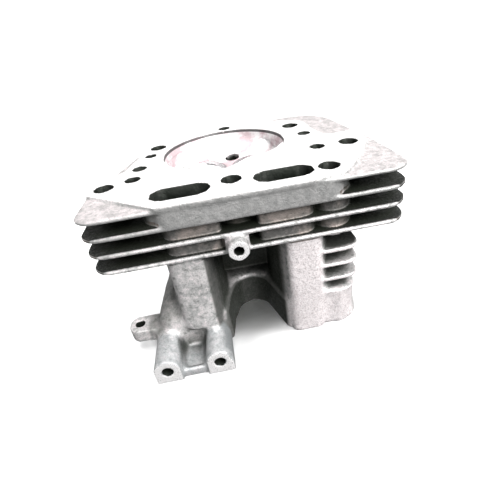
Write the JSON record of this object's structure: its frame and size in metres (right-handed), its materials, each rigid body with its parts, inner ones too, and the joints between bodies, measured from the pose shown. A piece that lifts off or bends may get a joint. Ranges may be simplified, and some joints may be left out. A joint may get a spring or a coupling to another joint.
{
  "type": "cylinder head",
  "caption": "Air-cooled small-engine cylinder head with full-width fins, pushrod slots, rocker box and its complete overhead-valve gear.",
  "frame": {"origin": "where the cylinder's bore axis meets the gasket face", "axes": "+Z out of the gasket face towards the cylinder; X along the two pushrod slots, +X towards the exhaust side; +Y away from the slots"},
  "size_m": [0.1624, 0.1435, 0.096],
  "materials": {
    "cast_aluminium": "fine sand-cast skin, machined gasket face",
    "seat_steel": "ground ring",
    "guide_bronze": "turned",
    "seal_rubber": "moulded",
    "valve_steel": "turned head, ground stem",
    "spring_steel": "shot-peened, oiled",
    "hard_steel": "ground",
    "plated_steel": "zinc plated",
    "rocker_iron": "forged skin, ground pad"
  },
  "bodies": {
    "head": {"head_casting": "cast_aluminium", "intake_valve_seat": "seat_steel", "exhaust_valve_seat": "seat_steel", "intake_valve_guide": "guide_bronze", "exhaust_valve_guide": "guide_bronze", "intake_stem_seal": "seal_rubber", "exhaust_stem_seal": "seal_rubber", "intake_spring_seat": "hard_steel", "exhaust_spring_seat": "hard_steel", "intake_spring": "spring_steel", "exhaust_spring": "spring_steel", "rocker_shaft": "hard_steel", "shaft_screws": "plated_steel", "intake_rocker_spacer": "hard_steel", "exhaust_rocker_spacer": "hard_steel"},
    "intake_valve_group": {"intake_valve": "valve_steel", "intake_retainer": "hard_steel", "intake_keepers": "hard_steel"},
    "intake_rocker_group": {"intake_rocker": "rocker_iron", "intake_adjuster": "hard_steel", "intake_adjuster_nut": "plated_steel"},
    "exhaust_valve_group": {"exhaust_valve": "valve_steel", "exhaust_retainer": "hard_steel", "exhaust_keepers": "hard_steel"},
    "exhaust_rocker_group": {"exhaust_rocker": "rocker_iron", "exhaust_adjuster": "hard_steel", "exhaust_adjuster_nut": "plated_steel"}
  },
  "joints": [
    {"name": "intake_rocker_turn", "type": "hinge", "parent": "head", "child": "intake_rocker_group", "pos_m": [-0.024, -0.026, -0.08485], "axis": [1, 0, 0], "range_deg": [0, 15.96]},
    {"name": "intake_valve_slide", "type": "slide", "parent": "head", "child": "intake_valve_group", "axis": [0, 0, 1], "range_m": [0, 0.0076], "deforming": ["intake_spring"]},
    {"name": "exhaust_rocker_turn", "type": "hinge", "parent": "head", "child": "exhaust_rocker_group", "pos_m": [0.024, -0.026, -0.08485], "axis": [1, 0, 0], "range_deg": [0, 15.96]},
    {"name": "exhaust_valve_slide", "type": "slide", "parent": "head", "child": "exhaust_valve_group", "axis": [0, 0, 1], "range_m": [0, 0.0076], "deforming": ["exhaust_spring"]}
  ],
  "couplings": [
    {"joint": "intake_valve_slide", "follows": "intake_rocker_turn", "m_per_rad": 0.026913},
    {"joint": "exhaust_valve_slide", "follows": "exhaust_rocker_turn", "m_per_rad": 0.026913}
  ]
}
